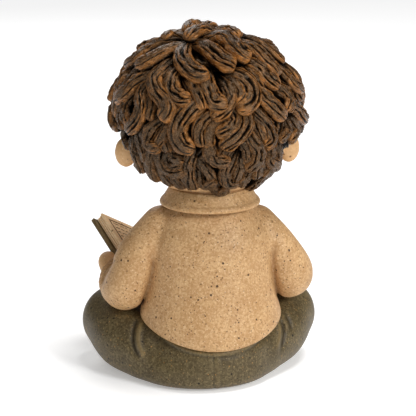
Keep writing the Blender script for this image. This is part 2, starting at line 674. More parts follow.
def row_locks(carving):
    """The rows of locks that the solid has, with more of them between, sunk where the photograph's lie."""
    chance, between = random.Random(HAIR_SEED), random.Random(HAIR_SEED + 7)
    back, _, _ = camera_axes()
    rows = []
    for row, (root_deg, count, length, width, thickness) in enumerate(LOCK_ROWS):
        locks = []
        for i in range(2 * count):
            fill = i >= count
            draw = between if fill else chance
            evenly = 360 * (i + 0.5 * (row % 2) + 0.5 * fill) / count
            round_deg = evenly + draw.uniform(-ROUND_SPREAD_DEG, ROUND_SPREAD_DEG)
            root = root_deg + draw.uniform(-ROOT_SPREAD_DEG, ROOT_SPREAD_DEG)
            side = 1 if draw.random() < 0.5 else -1
            bend = draw.uniform(*BEND_RANGE)
            size = draw.uniform(*SIZE_RANGE)
            flick = draw.uniform(*FLICK_RANGE)
            layer = FILL_LAYER if fill else LOCK_LAYER * (-1) ** i
            course = lock_course(root, round_deg, length * size, side, bend, flick, layer, COURSE_STATIONS)
            facing = course[COURSE_STATIONS // 2][1].dot(back)
            if row == NAPE_ROW and facing > 0.2:
                continue
            sink = ROW_SINK * float(smooth_step(-0.05, 0.35, facing))
            course = [(point - out * sink, out, share) for point, out, share in course]
            ends = course[-1][1], course[-COURSE_STATIONS // 4][1]
            if all(has_hair(out) for out in ends) and clear_of_ears(course):
                locks.append(lock_skin(course, width * size, thickness, carving, ROW_FINENESS))
        rows.append(locks)
    return rows


def clear_of_ears(course):
    """Whether a lock's tip lies over the ears or well away from them."""
    places = [Vector((abs(p.x), p.y, p.z)) - EAR_MIDDLE for p, _, share in course if share > 0.6]
    return all(p.length > EAR_ROOM or p.z > EAR_RADII.z + 1 for p in places)


def side_locks(carving):
    """Locks over the temples and above the ears, which fall forwards a little."""
    locks = []
    for side, (number, (round_deg, tip_deg)) in product((1, -1), enumerate(SIDE_LOCKS)):
        course = []
        for station in range(COURSE_STATIONS):
            share = station / (COURSE_STATIONS - 1)
            up = math.radians(SIDE_ROOT_DEG + (tip_deg - SIDE_ROOT_DEG) * share)
            sway = SIDE_SWAY_DEG * math.sin(math.pi * (1.3 * share + 0.4 * number + 0.5 * (side < 0)))
            turn = math.radians(round_deg + sway)
            out = Vector((side * math.sin(turn) * math.cos(up), -math.cos(turn) * math.cos(up), math.sin(up)))
            rise = math.sin(math.pi / 2 * min(1, share / ROOT_SHARE))
            height = SIDE_HEIGHT + LOCK_LAYER * (-1) ** number - ROOT_SINK * (1 - rise)
            course.append((scalp_point(out, height), out, share))
        locks.append(lock_skin(course, SIDE_WIDTH, SIDE_THICKNESS, carving, ROW_FINENESS))
    return locks


def under_pixel(u, v, height):
    """The direction out of the head of the point at this height that the camera sees at a pixel.

    Past the head's edge it is the nearest such point, with how much higher the pixel is.
    """
    back, right, up = camera_axes()
    eye = CAMERA_TARGET + back * CAMERA_DISTANCE
    middle = PICTURE_SIDE / 2
    ray = right * (u - middle) * PIXEL - up * (v - middle) * PIXEL - back * CAMERA_DISTANCE
    radii = SCALP_RADII + Vector((height, height, height))
    start = Vector(a / r for a, r in zip(eye - SCALP_MIDDLE, radii))
    step = Vector(a / r for a, r in zip(ray, radii))
    a, b, c = step.dot(step), start.dot(step), start.dot(start) - 1
    share = (-b - math.sqrt(max(0, b * b - a * c))) / a
    spot = start + step * share
    return spot.normalized(), max(0, spot.length - 1) * SCALP_RADII.x


def photo_course(pixels, lift):
    """A lock's stations from its line in the photograph, with the root tucked under the locks above."""
    first, second = Vector(pixels[0]), Vector(pixels[1])
    root = first - (second - first).normalized() * ROOT_TUCK
    last, before = Vector(pixels[-1]), Vector(pixels[-2])
    end = last + (last - before).normalized() * TIP_REACH
    line = smooth_path([tuple(root), *pixels[:-1], tuple(end)], 10)
    course = []
    for k, (u, v) in enumerate(line):
        share = k / (len(line) - 1)
        height = LOCK_HEIGHT + lift + TIP_LIFT * float(smooth_step(0.5, 0.9, share))
        out, past = under_pixel(u, v, height)
        height += past - ROOT_SINK * (1 - math.sin(math.pi / 2 * min(1, share / ROOT_SHARE)))
        course.append((scalp_point(out, height), out, share))
    return course


def photo_lock(width, lift, pixels, carving):
    course = photo_course(pixels, lift)
    length = sum((b[0] - a[0]).length for a, b in zip(course, course[1:]))
    tip_share = 1 - min(0.5, TIP_ROUNDNESS * width / length)
    return lock_skin(course, width, width * LOCK_THICKNESS_SHARE, carving, PHOTO_FINENESS, tip_share)


def make_hair(paints):
    """Rows of locks all round, and over them those that show from behind."""
    carving = random.Random(HAIR_SEED + 1)
    for name, table in PHOTO_PIECES:
        place_locks(name, [photo_lock(*row, carving) for row in table], paints)
    place_locks("hair_sides", side_locks(carving), paints)
    rows = row_locks(carving)
    for name, chosen in ROW_PIECES:
        place_locks(name, [lock for row in chosen for lock in rows[row]], paints)


def place_locks(name, locks, paints):
    """One piece of many locks, with the satin paint on their ridges and the flat one in their shadows."""
    points, faces, paint, total = [], [], {}, 0
    for lock_points, lock_faces, lock_paint in locks:
        faces += [tuple(total + k for k in face) for face in lock_faces]
        total += len(lock_points)
        points.append(lock_points)
        for key, values in lock_paint.items():
            paint.setdefault(key, []).append(values)
    paint = {key: np.concatenate(values) for key, values in paint.items()}
    piece = place_piece(name, np.concatenate(points), faces, paints[0], paint)
    piece.data.materials.append(paints[1])
    in_shadow = [int(paint["crest"][face[0]] < SHADOW_BELOW) for face in faces]
    piece.data.polygons.foreach_set("material_index", in_shadow)


def make_scalp(material):
    """The dark cap under the locks, which ends at the hairline."""
    clay = Clay((-40, -42, 70), (40, 36, 146), SCALP_GRID)
    clay.add(ball(SCALP_MIDDLE + Vector((0, 1, 0)), SCALP_RADII + Vector((0.4, 0.2, 0.6))))
    arc = math.radians(1) * SCALP_RADII.x
    clay.keep(lambda x, y, z: (SCALP_EDGE_DEG - over_hairline(x, y, z)) * arc, 1.5)
    points, faces, _ = clay.skin()
    plain = np.zeros(len(points))
    numbers = {"crest": plain + SCALP_CREST, "brushed": plain, "tone": plain}
    place_piece("scalp", points, faces, material, numbers)


def over_hairline(x, y, z):
    """How many degrees a place is over the hairline."""
    x, y, z = x - SCALP_MIDDLE.x, y - SCALP_MIDDLE.y, z - SCALP_MIDDLE.z
    up = np.degrees(np.arctan2(z, np.hypot(x, y)))
    return up - hairline(np.degrees(np.arctan2(np.abs(x), -y)))


# Head

NOSE_UP_DEG = -14
EYE_ROUND_DEG = 24
EYE_UP_DEG = -4
CHEEK_ROUND_DEG = 33
CHEEK_UP_DEG = -24
MOUTH_UP_DEG = -28
BROW_UP_DEG = 9
SKULL_UNDER_HAIR = 3.2


def on_face(round_deg, up_deg, lift=0.0):
    """A point on the head, and the direction out of it there. Round is towards the boy's left."""
    turn, up = math.radians(round_deg), math.radians(up_deg)
    out = Vector((math.sin(turn) * math.cos(up), -math.cos(turn) * math.cos(up), math.sin(up)))
    return HEAD_MIDDLE + Vector(a * b for a, b in zip(out, HEAD_RADII)) + out * lift, out


def turn_z(degrees):
    return np.array(Matrix.Rotation(math.radians(degrees), 3, "Z"))


def make_head(material, dark):
    clay = Clay((-41, -44, 66), (41, 32, 146), HEAD_GRID)
    clay.add(ball(HEAD_MIDDLE, HEAD_RADII))
    clay.add(limb(((0, 0, 66, 14), (0, 0, 84, 14))), 3)
    nose, _ = on_face(0, NOSE_UP_DEG, 0.4)
    bridge, _ = on_face(0, NOSE_UP_DEG + 9, -1.6)
    clay.add(limb(((*bridge, 2.0), (*nose, 2.4))), 3)
    clay.add(ball(nose, (3.2, 3.2, 2.6)), 2)
    for side in (1, -1):
        socket, _ = on_face(side * EYE_ROUND_DEG, EYE_UP_DEG + 1, 5.6)
        clay.cut(ball(socket, (8, 7, 7), turn_z(side * EYE_ROUND_DEG)), 4)
        lid, _ = on_face(side * EYE_ROUND_DEG, EYE_UP_DEG, -1.6)
        clay.add(ball(lid, (5.4, 3.4, 4.2), turn_z(side * EYE_ROUND_DEG)), 1.2)
        cheek, _ = on_face(side * CHEEK_ROUND_DEG, CHEEK_UP_DEG, -6.0)
        clay.add(ball(cheek, (10, 8, 9)), 5)
        nostril, _ = on_face(side * 3.6, NOSE_UP_DEG - 1.5, -0.3)
        clay.add(ball(nostril, (1.8, 1.8, 1.6)), 1.6)
        ear = Vector((side * EAR_MIDDLE.x, EAR_MIDDLE.y, EAR_MIDDLE.z))
        clay.add(ball(ear, EAR_RADII, turn_z(side * -18)), 1.5)
        clay.cut(ball(ear + Vector((side * 2.6, -3.6, 0.8)), (2.6, 2.2, 3.6)), 1.2)
    chin, _ = on_face(0, MOUTH_UP_DEG - 14, -3.4)
    clay.add(ball(chin, (7, 5, 4.5)), 5)
    lower_lip, _ = on_face(0, MOUTH_UP_DEG - 3.2, -0.8)
    clay.add(ball(lower_lip, (3.4, 1.8, 1.5)), 1.5)
    upper_lip, _ = on_face(0, MOUTH_UP_DEG + 2.4, -1.0)
    clay.add(ball(upper_lip, (3.8, 1.7, 1.3)), 1.5)
    clay.press(lambda x, y, z: SKULL_UNDER_HAIR * smooth_step(4, 12, over_hairline(x, y, z)))
    points, faces, _ = clay.skin()
    blush = np.zeros(len(points))
    for side in (1, -1):
        cheek, _ = on_face(side * CHEEK_ROUND_DEG, CHEEK_UP_DEG + 3)
        gap = np.linalg.norm(points - np.array(cheek), axis=1)
        blush += np.exp(-(gap / 6.5) ** 2)
    for spot, reach in ((lower_lip, 3.4), (upper_lip, 3.2), (nose, 3.5)):
        gap = np.linalg.norm((points - np.array(spot)) * np.array((0.7, 1, 1.5)), axis=1)
        blush += 0.7 * np.exp(-(gap / reach) ** 2)
    blush = np.clip(blush, 0, 1) * (points[:, 1] < HEAD_MIDDLE.y)
    place_piece("head", points, faces, material, {"blush": blush})
    make_face_lines(dark)


def make_face_lines(material):
    """Brows, lash lines of the lowered lids, and the line of the mouth, as thin raised strokes."""
    points, faces = [], []
    lash = 8.6, (EYE_UP_DEG - 5.2, 3.4), (1.35, -1.0), (0.42, -0.2)
    brow = 9.6, (BROW_UP_DEG + 0.6, -2.6), (0.1, 0), (0.95, -0.5)
    mouth = 8.2, (MOUTH_UP_DEG - 0.4, 2.6), (0.42, -0.35), (0.36, -0.14)
    eye_strokes = [(side, EYE_ROUND_DEG, stroke) for side in (1, -1) for stroke in (lash, brow)]
    for side, middle_deg, (half_deg, *bows) in (*eye_strokes, (1, 0, mouth)):
        stops = []
        for share in (-1, -0.6, -0.2, 0.2, 0.6, 1):
            up_deg, lift, radius = (middle + bow * share**2 for middle, bow in bows)
            spot, _ = on_face(side * (middle_deg + half_deg * share), up_deg, lift)
            stops.append((*spot, radius))
        add_tube(points, faces, stops)
    full = np.ones(len(points))
    numbers = {"crest": full * 0.6, "brushed": full * 0, "tone": full * 0.4}
    place_piece("face_lines", points, faces, material, numbers)


def add_tube(points, faces, stops, sides=12, steps=5):
    """A thin round stroke through the stops, added to the lists."""
    path = np.array(smooth_path(stops, steps))
    ahead = np.gradient(path[:, :3], axis=0)
    first = len(points)
    for (x, y, z, radius), along in zip(path, ahead):
        along = Vector(along).normalized()
        across = along.cross(Vector((0, 0, 1))).normalized()
        lift = across.cross(along)
        for k in range(sides):
            angle = 2 * math.pi * k / sides
            out = across * math.cos(angle) + lift * math.sin(angle)
            points.append(list(Vector((x, y, z)) + out * radius))
    faces += [tuple(first + k for k in face) for face in tube_faces(len(path), sides)]


# Shirt

def hem_height(x, y):
    back = np.maximum(0, y / np.maximum(1e-6, np.hypot(x, y)))
    return HEM_SIDE_HEIGHT + (HEM_BACK_HEIGHT - HEM_SIDE_HEIGHT) * back**HEM_CURVE


def torso():
    rings = np.array(smooth_path(SHIRT_RINGS, 6))[::-1]

    def distance(x, y, z):
        width, depth, middle = (np.interp(z, rings[:, 0], rings[:, k]) for k in (1, 2, 3))
        y = y - middle
        near = np.sqrt((x / width) ** 2 + (y / depth) ** 2)
        slope = np.sqrt((x / width**2) ** 2 + (y / depth**2) ** 2)
        side = near * (near - 1) / np.maximum(slope, 1e-3)
        return np.maximum(side * 0.92, z - rings[-1, 0])

    return np.array((-31, -31, 10)), np.array((31, 31, 76)), distance


def sleeve_folds(count, start, deep):
    """Rings of soft folds near the end of a sleeve."""
    def ripple(share):
        into = (share - start) / (1 - start)
        return np.where(into > 0, deep * np.sin(2 * math.pi * count * into) * smooth_step(0, 0.25, into), 0)
    return ripple


def make_shirt(material):
    clay = Clay((-48, -42, 8), (52, 36, 82), SHIRT_GRID)
    clay.add(torso())
    clay.add(limb(LEFT_ARM, 6, sleeve_folds(3, 0.66, 0.9)), 1.6)
    clay.add(limb(RIGHT_ARM, 6, sleeve_folds(3, 0.74, 0.8)), 1.6)
    clay.keep(lambda x, y, z: (hem_height(x, y) - z) * 0.93, 1.6)
    valleys = (LEFT_VALLEY, 1.2, 1.1), (RIGHT_VALLEY, 1.2, 1.0)
    armpits = (LEFT_ARMPIT, 0.9, 0.5), (RIGHT_ARMPIT, 1.0, 0.6)
    for line, width, deep in valleys + armpits:
        clay.press(groove(line, width, deep))
    for line in LEFT_SLEEVE_FOLDS:
        clay.press(groove(line, 0.8, 1.1, -30, 2))
    points, faces, pressed = clay.skin()
    place_piece("shirt", points, faces, material, {"pressed": pressed})


def make_collar(material):
    """A folded collar with a rounded lower lip, open in a small notch in front."""
    clay = Clay((-25, -26, 62), (25, 25, 84), COLLAR_GRID)
    lean = Vector((COLLAR_BOTTOM_RADIUS - COLLAR_TOP_RADIUS, COLLAR_BOTTOM - COLLAR_TOP))

    def band(x, y, z):
        radius = np.hypot(x, y)
        front = np.degrees(np.arctan2(np.abs(x), -y))
        drop = 3.2 * np.exp(-((front - 24) / 13) ** 2)
        ax, az = COLLAR_TOP_RADIUS - 0.7, COLLAR_TOP - 0.6
        bx, bz = COLLAR_BOTTOM_RADIUS - 0.8, COLLAR_BOTTOM - 0.2 - drop
        dx, dz = bx - ax, bz - az
        t = np.clip(((radius - ax) * dx + (z - az) * dz) / (dx * dx + dz * dz), 0, 1)
        thick = 0.62 + 0.32 * smooth_step(0.80, 0.86, t)
        shell = np.hypot(radius - ax - t * dx, z - az - t * dz) - thick
        notch = (9 + 1.5 * (COLLAR_TOP - z)) - front
        return -soft_min(-shell, -notch * radius * math.radians(1), 0.8)

    clay.add((np.array((-24, -25, 64)), np.array((24, 24, 82)), band))
    points, faces, _ = clay.skin(2)
    place_piece("collar", points, faces, material, {"pressed": np.zeros(len(points))})


# Trousers

def groove(pixels, width, deep, behind=-14, fade=9):
    """A crease along a line in the photograph's pixels, on what lies behind a place in Y."""
    line = smooth_path(pixels, 4)
    (first_u, first_v), (last_u, last_v) = pixels[0], pixels[-1]

    def dent(x, y, z):
        u, v = seen(x, y, z)
        gap = curve_gap(line, u, v) * PIXEL
        ends = np.minimum(np.hypot(u - first_u, v - first_v), np.hypot(u - last_u, v - last_v))
        reached = smooth_step(behind, behind + 6, y)
        return deep * smooth_step(-2, fade, ends) * np.exp(-(gap / width) ** 2) * reached
    return dent


def rim(pixels, shift, width, deep):
    """A raised edge beside a crease."""
    return groove([(u + shift, v) for u, v in pixels], width, -deep)


def seam(x, y, z):
    """The raised strip down the middle of the seat."""
    u, v = seen(x, y, z)
    left, right = SEAM_EDGES
    ends = smooth_step(SEAM_FROM - 2, SEAM_FROM + 1, v) * smooth_step(4, 10, y)
    raised = smooth_step(left - 1.4, left + 0.6, u) * smooth_step(right + 1.4, right - 0.6, u)
    lines = sum(np.exp(-(((u - edge) * PIXEL) / 0.42) ** 2) for edge in (left - 0.9, right + 0.9))
    return ends * (0.55 * lines - 0.25 * raised)


def waistband(x, y, z):
    """The crease under the shirt where the waistband ends."""
    below = z - (hem_height(x, y) - 2.4)
    inner = smooth_step(26, 20, np.abs(x)) * smooth_step(4, 10, y)
    return inner * (0.6 * np.exp(-(below / 0.6) ** 2) - 0.5 * np.exp(-((below - 1.3) / 0.9) ** 2))


GROUND_ROUNDING = 5.0


def cuff(share):
    return 0.9 * np.exp(-((share - 0.985) / 0.03) ** 2)


def make_trousers(material):
    clay = Clay((-52, -58, -4), (56, 34, 38), TROUSERS_GRID)
    clay.add(ball(SEAT_MIDDLE, SEAT_RADII))
    clay.add(ball((2.2, 1, 8.5), (29.6, 27.4, 13.0)), 2)
    clay.add(ball(WAIST_MIDDLE, WAIST_RADII), 2)
    clay.add(ball(LAP_MIDDLE, LAP_RADII), 2)
    for stops in (LEFT_THIGH, RIGHT_THIGH):
        clay.add(limb(stops), 3)
    clay.add(limb(RIGHT_SHIN, 5, cuff), 2)
    clay.add(limb(LEFT_SHIN, 5, cuff), 1.2)
    clay.press(groove(LEFT_FOLD, 0.85, 1.3))
    clay.press(rim(LEFT_FOLD, 4.6, 1.3, 0.8))
    clay.press(groove(LEFT_FOLD_INNER, 0.8, 0.7))
    clay.press(groove(RIGHT_FOLD_OUTER, 0.75, 1.1))
    clay.press(rim(RIGHT_FOLD_OUTER, -3.2, 1.0, 0.6))
    clay.press(groove(RIGHT_FOLD_INNER, 0.75, 1.2))
    clay.press(rim(RIGHT_FOLD_INNER, -3.4, 1.0, 0.6))
    clay.press(seam)
    clay.press(waistband)
    clay.keep(lambda x, y, z: 0.02 - z + 0 * x, GROUND_ROUNDING)
    points, faces, pressed = clay.skin()
    place_piece("trousers", points, faces, material, {"pressed": pressed})


def make_feet(material):
    """Bare feet, each a smooth sole with five toes in a fan."""
    for name, stops, ahead in (("left_foot", LEFT_FOOT, -1), ("right_foot", RIGHT_FOOT, 1)):
        path = np.array(stops, float)
        low, high = path[:, :3].min(0) - 11, path[:, :3].max(0) + 11
        clay = Clay(low, high, FOOT_GRID)
        clay.add(limb(stops))
        x, y, z, _ = stops[-1]
        for toe in range(5):
            size = 2.3 - 0.24 * toe
            spot = (x + ahead * (4.6 - 0.5 * toe**1.3), y + 3.7 - 2.0 * toe, z + 0.9 - 0.35 * toe)
            clay.add(ball(spot, (size * 1.25, size * 0.92, size)), 0.7)
        clay.keep(lambda x, y, z: 0.02 - z + 0 * x, 0.6)
        points, faces, _ = clay.skin(2)
        place_piece(name, points, faces, material, {"blush": np.zeros(len(points))})


# Book

def book_frame():
    """A placement with X along the open book to the boy's left, Y up its spine, and Z out of its pages."""
    yaw = Matrix.Rotation(math.radians(BOOK_YAW_DEG), 4, "Z")
    flat = Matrix(((1, 0, 0, 0), (0, -1, 0, 0), (0, 0, 1, 0), (0, 0, 0, 1)))
    tilt = Matrix.Rotation(-math.radians(BOOK_TILT_DEG), 4, "X")
    return Matrix.Translation(BOOK_SPINE_MIDDLE) @ yaw @ tilt @ flat


def on_half(side, along, up, out):
    """A point of one half of the book: from the spine to the fore-edge, up the page, and out of it."""
    rise = math.radians(BOOK_HALF_RISE_DEG)
    across = along * math.cos(rise) - out * math.sin(rise)
    return book_frame() @ Vector((side * across, up, along * math.sin(rise) + out * math.cos(rise)))


def add_slab(shape, side, along, up, out):
    """A plate between two places along, up and out of one half. Its inner end meets the other half's."""
    slant = math.tan(math.radians(BOOK_HALF_RISE_DEG))
    corners = []
    for o in out:
        for a, u in ((along[0], up[0]), (along[1], up[0]), (along[1], up[1]), (along[0], up[1])):
            inner = max(a, o * slant) if a == along[0] else a
            corners.append(shape.verts.new(on_half(side, inner, u, o) * MM))
    quads = ((3, 2, 1, 0), (4, 5, 6, 7), (0, 1, 5, 4), (1, 2, 6, 5), (2, 3, 7, 6), (3, 0, 4, 7))
    for quad in quads:
        shape.faces.new([corners[k] for k in quad])


def finish_shape(name, shape, materials, bevel=0.0):
    bmesh.ops.recalc_face_normals(shape, faces=shape.faces)
    if bevel:
        bmesh.ops.bevel(
            shape, geom=shape.edges, offset=bevel * MM, segments=3, profile=0.6, affect="EDGES",
            clamp_overlap=True,
        )
    mesh = bpy.data.meshes.new(name)
    shape.to_mesh(mesh)
    shape.free()
    for material in materials:
        mesh.materials.append(material)
    mesh.polygons.foreach_set("use_smooth", [True] * len(mesh.polygons))
    mesh.set_sharp_from_angle(angle=math.radians(40))
    return settle(bpy.data.objects.new(name, mesh))


LEAVES = 4
LEAF_GAP = 0.2
COVER_GAP = 0.45
PAGE_BORDER = 2.6
STROKE_DEEP = 0.38
TEXT_ROWS = 8
BORDER_LINE = 0.8
BORDER_JOINT = 0.15
TEXT_HALF_LINE = 0.3


def make_book(cover_paint, page_paint, ink):
    chance = random.Random(5)
    half_up = PAGE_HEIGHT / 2
    cover = bmesh.new()
    tall = half_up + COVER_MARGIN
    for side in (1, -1):
        add_slab(cover, side, (0, PAGE_WIDTH + COVER_MARGIN), (-tall, tall), (-COVER_THICKNESS, -0.05))
    finish_shape("book_cover", cover, [cover_paint], 0.45)
    pages = bmesh.new()
    for side in (1, -1):
        for leaf in range(LEAVES - 1):
            low = leaf * PAGES_THICKNESS / LEAVES + (COVER_GAP if leaf == 0 else 0)
            high = (leaf + 1) * PAGES_THICKNESS / LEAVES - LEAF_GAP
            fore = PAGE_WIDTH - chance.uniform(0.0, 0.45)
            tall = half_up - chance.uniform(0.0, 0.3)
            add_slab(pages, side, (0, fore), (-tall, tall), (low, high))
    finish_shape("book_leaves", pages, [page_paint], 0.14)
    top = bmesh.new()
    out = (PAGES_THICKNESS * (1 - 1 / LEAVES), PAGES_THICKNESS)
    for side in (1, -1):
        add_slab(top, side, (0, PAGE_WIDTH), (-half_up, half_up), out)
    page = finish_shape("book_open_pages", top, [page_paint], 0.16)
    engrave(page, ink, chance)


def engrave(page, ink, chance):
    """Cuts a border and rows of short strokes into both open pages."""
    cutter = bmesh.new()
    half_up = PAGE_HEIGHT / 2
    floor, above = PAGES_THICKNESS - STROKE_DEEP, PAGES_THICKNESS + 1
    near, far = 4.6, PAGE_WIDTH - PAGE_BORDER
    low, high = -half_up + PAGE_BORDER, half_up - PAGE_BORDER
    line = BORDER_LINE
    between = (low + line + BORDER_JOINT, high - line - BORDER_JOINT)
    for side in (1, -1):
        for along, up in (
            ((near, far), (low, low + line)),
            ((near, far), (high - line, high)),
            ((near, near + line), between),
            ((far - line, far), between),
        ):
            add_slab(cutter, side, along, up, (floor, above))
        for row in range(TEXT_ROWS):
            up = high - 2.2 - row * (high - low - 4.4) / (TEXT_ROWS - 1)
            at = near + 1.8
            while at < far - 3.4:
                long = min(chance.uniform(1.6, 4.6), far - 1.8 - at)
                rows = (up - TEXT_HALF_LINE, up + TEXT_HALF_LINE)
                add_slab(cutter, side, (at, at + long), rows, (floor, above))
                at += long + chance.uniform(0.7, 1.0)
    bmesh.ops.recalc_face_normals(cutter, faces=cutter.faces)
    mesh = bpy.data.meshes.new("strokes")
    cutter.to_mesh(mesh)
    cutter.free()
    mesh.materials.append(ink)
    tool = bpy.data.objects.new("strokes", mesh)
    bpy.context.scene.collection.objects.link(tool)
    cut = page.modifiers.new("strokes", "BOOLEAN")
    cut.operation = "DIFFERENCE"
    cut.solver = "EXACT"
    cut.use_self = True
    cut.material_mode = "TRANSFER"
    cut.object = tool
    graph = bpy.context.evaluated_depsgraph_get()
    cut_mesh = bpy.data.meshes.new_from_object(page.evaluated_get(graph))
    page.modifiers.clear()
    page.data = cut_mesh
    bpy.data.objects.remove(tool)


# Hands

LEFT_HEEL = (39.9, -23.2, 42.4)
RIGHT_HEEL = (-13.5, -32.5, 37.6)


def finger(clay, side, places, radius, blend=0.7):
    stops = []
    for along, up, out in places:
        stops.append((*on_half(side, along, up, out), radius))
    clay.add(limb(stops, 4), blend)


def make_hands(material):
    """Each hand holds its half of the book from below, with the thumb over the edge of the pages."""
    under = -COVER_THICKNESS
    hands = (("left_hand", 1, LEFT_ARM[-1], LEFT_HEEL), ("right_hand", -1, RIGHT_ARM[-1], RIGHT_HEEL))
    for name, side, wrist, heel in hands:
        half_up = PAGE_HEIGHT / 2
        middle = Vector(heel)
        low = np.minimum(np.array(middle), np.array(wrist[:3])) - 22
        high = np.maximum(np.array(middle), np.array(wrist[:3])) + 22
        clay = Clay(low, high, HAND_GRID)
        palm = on_half(side, 22.5, -half_up + 3.0, under - 3.6)
        clay.add(limb(((*Vector(wrist[:3]), 4.4), (*middle, 4.2), (*palm, 4.2)), 5))
        for k in range(4):
            at = -half_up + 2.0 + 3.1 * k
            tip = (11.5 + 0.8 * abs(k - 1.5), at + 1.4, under - 1.7)
            finger(clay, side, ((23.5, at, under - 3.0), (17, at + 0.8, under - 2.0), tip), 1.75)
        thumb = ((24.5, -2.0, under - 3.0), (24, -2.6, 2.0), (21.5, 1.5, 5.6), (19, 5.0, 5.4))
        finger(clay, side, [(along, -half_up + up, out) for along, up, out in thumb], 1.9, 1.2)
        points, faces, _ = clay.skin(2)
        place_piece(name, points, faces, material, {"blush": np.zeros(len(points))})


# Paint

def node(tree, kind, inputs=None, **settings):
    made = tree.nodes.new(kind)
    for key, value in settings.items():
        setattr(made, key, value)
    for key, value in (inputs or {}).items():
        feed(tree, made.inputs[key], value)
    return made


def feed(tree, socket, value):
    if isinstance(value, bpy.types.NodeSocket):
        tree.links.new(value, socket)
    else:
        socket.default_value = value


def maths(tree, operation, a, b=0.0, clamp=False):
    return node(tree, "ShaderNodeMath", {0: a, 1: b}, operation=operation, use_clamp=clamp).outputs[0]


def times(tree, a, b, clamp=False):
    return maths(tree, "MULTIPLY", a, b, clamp)


def kept_number(tree, name):
    """A number that a piece keeps for each of its points."""
    return node(tree, "ShaderNodeAttribute", attribute_name=name).outputs["Fac"]


def blend(tree, amount, a, b, how="MIX"):
    """Colour a with colour b over it by an amount."""
    made = node(tree, "ShaderNodeMix", data_type="RGBA", blend_type=how, clamp_factor=True)
    for index, value in ((0, amount), (6, a), (7, b)):
        feed(tree, made.inputs[index], value)
    return made.outputs[2]


def colour(r, g, b):
    """A colour as seen on a screen, from 0 to 255, as the numbers that a shader takes."""
    def linear(value):
        value = value / 255
        return value / 12.92 if value <= 0.04045 else ((value + 0.055) / 1.055) ** 2.4
    return (linear(r), linear(g), linear(b), 1.0)


def start_paint(name):
    material = bpy.data.materials.new(name)
    material.use_nodes = True
    tree = material.node_tree
    scaled = {0: node(tree, "ShaderNodeTexCoord").outputs["Object"], 1: (1 / MM, 1 / MM, 1 / MM)}
    where = node(tree, "ShaderNodeVectorMath", scaled, operation="MULTIPLY").outputs[0]
    return material, tree, tree.nodes["Principled BSDF"], where


def noise(tree, where, scale, detail=2.0, roughness=0.5):
    inputs = {"Vector": where, "Scale": scale, "Detail": detail, "Roughness": roughness}
    return node(tree, "ShaderNodeTexNoise", inputs).outputs["Fac"]


def stretch(tree, value, low, high):
    """A number between low and high as 0 to 1."""
    return node(tree, "ShaderNodeMapRange", {0: value, 1: low, 2: high}, clamp=True).outputs[0]


def shifted(tree, where, by):
    return node(tree, "ShaderNodeVectorMath", {0: where, 1: by}).outputs[0]


def specks(tree, where, per_mm, share, size):
    """A mask of round specks, one of its own size in each cell, or none."""
    cells = node(tree, "ShaderNodeTexVoronoi", {"Vector": where, "Scale": per_mm})
    red = node(tree, "ShaderNodeSeparateColor", {0: cells.outputs["Color"]}).outputs[0]
    radius = times(tree, maths(tree, "SUBTRACT", red, 1 - share), size / share * per_mm)
    inside = maths(tree, "SUBTRACT", radius, cells.outputs["Distance"])
    return maths(tree, "DIVIDE", inside, 0.12 * per_mm, clamp=True)


def stone_paint(name, tones, dark, light, rough, dark_share=0.9, grain=1.0):
    """Satin paint over cast stone: mottled, with sparse dark specks, finer brown ones and light flecks."""
    material, tree, shader, where = start_paint(name)
    low, middle, high = tones
    broad = noise(tree, where, 0.16, 3)
    fine = noise(tree, where, 1.1, 3, 0.65)
    tone = blend(tree, stretch(tree, broad, 0.3, 0.7), low, middle)
    tone = blend(tree, times(tree, stretch(tree, fine, 0.45, 0.62), 0.6 * grain), tone, high)
    dusk = times(tree, stretch(tree, noise(tree, where, 1.0, 3, 0.65), 0.48, 0.62), 0.9 * grain)
    tone = blend(tree, dusk, tone, low)
    umber = tuple(0.35 * a + 0.65 * b for a, b in zip(low, dark))
    for per_mm, share, size, amount in ((0.55, 0.8, 0.5, 0.75), (0.95, 0.7, 0.36, 0.85)):
        brown = specks(tree, shifted(tree, where, (5 * per_mm, 1, 8)), per_mm, share * dark_share, size)
        tone = blend(tree, times(tree, brown, amount), tone, umber)
    flecks = specks(tree, shifted(tree, where, (7, 3, 5)), 0.9, 0.6, 0.34)
    tone = blend(tree, times(tree, flecks, 0.6), tone, light)
    small = specks(tree, shifted(tree, where, (3, 4, 9)), 0.7, 0.55 * dark_share, 0.38)
    tone = blend(tree, times(tree, small, 0.85), tone, dark)
    black = specks(tree, shifted(tree, where, (2, 9, 4)), 0.38, 0.7 * dark_share, 0.62)
    tone = blend(tree, times(tree, black, 0.92), tone, dark)
    rise = maths(tree, "SUBTRACT", fine, times(tree, black, 0.6))
    bump = node(tree, "ShaderNodeBump", {"Strength": 0.35, "Distance": 0.00012, "Height": rise})
    tree.links.new(bump.outputs[0], shader.inputs["Normal"])
    spread = maths(tree, "ADD", rough - 0.1, times(tree, fine, 0.2))
    tree.links.new(spread, shader.inputs["Roughness"])
    shader.inputs["Specular IOR Level"].default_value = 0.3
    tree.links.new(tone, shader.inputs["Base Color"])
    return material, tree, shader, tone, where


def shirt_paint():
    tones = colour(176, 134, 87), colour(202, 162, 114), colour(222, 188, 144)
    material, tree, shader, tone, _ = stone_paint(
        "shirt_paint", tones, colour(66, 38, 18), colour(234, 210, 174), 0.5
    )
    wash = times(tree, stretch(tree, kept_number(tree, "pressed"), 0.15, 1.2), 0.5)
    tone = blend(tree, wash, tone, colour(124, 86, 48))
    tree.links.new(tone, shader.inputs["Base Color"])
    return material


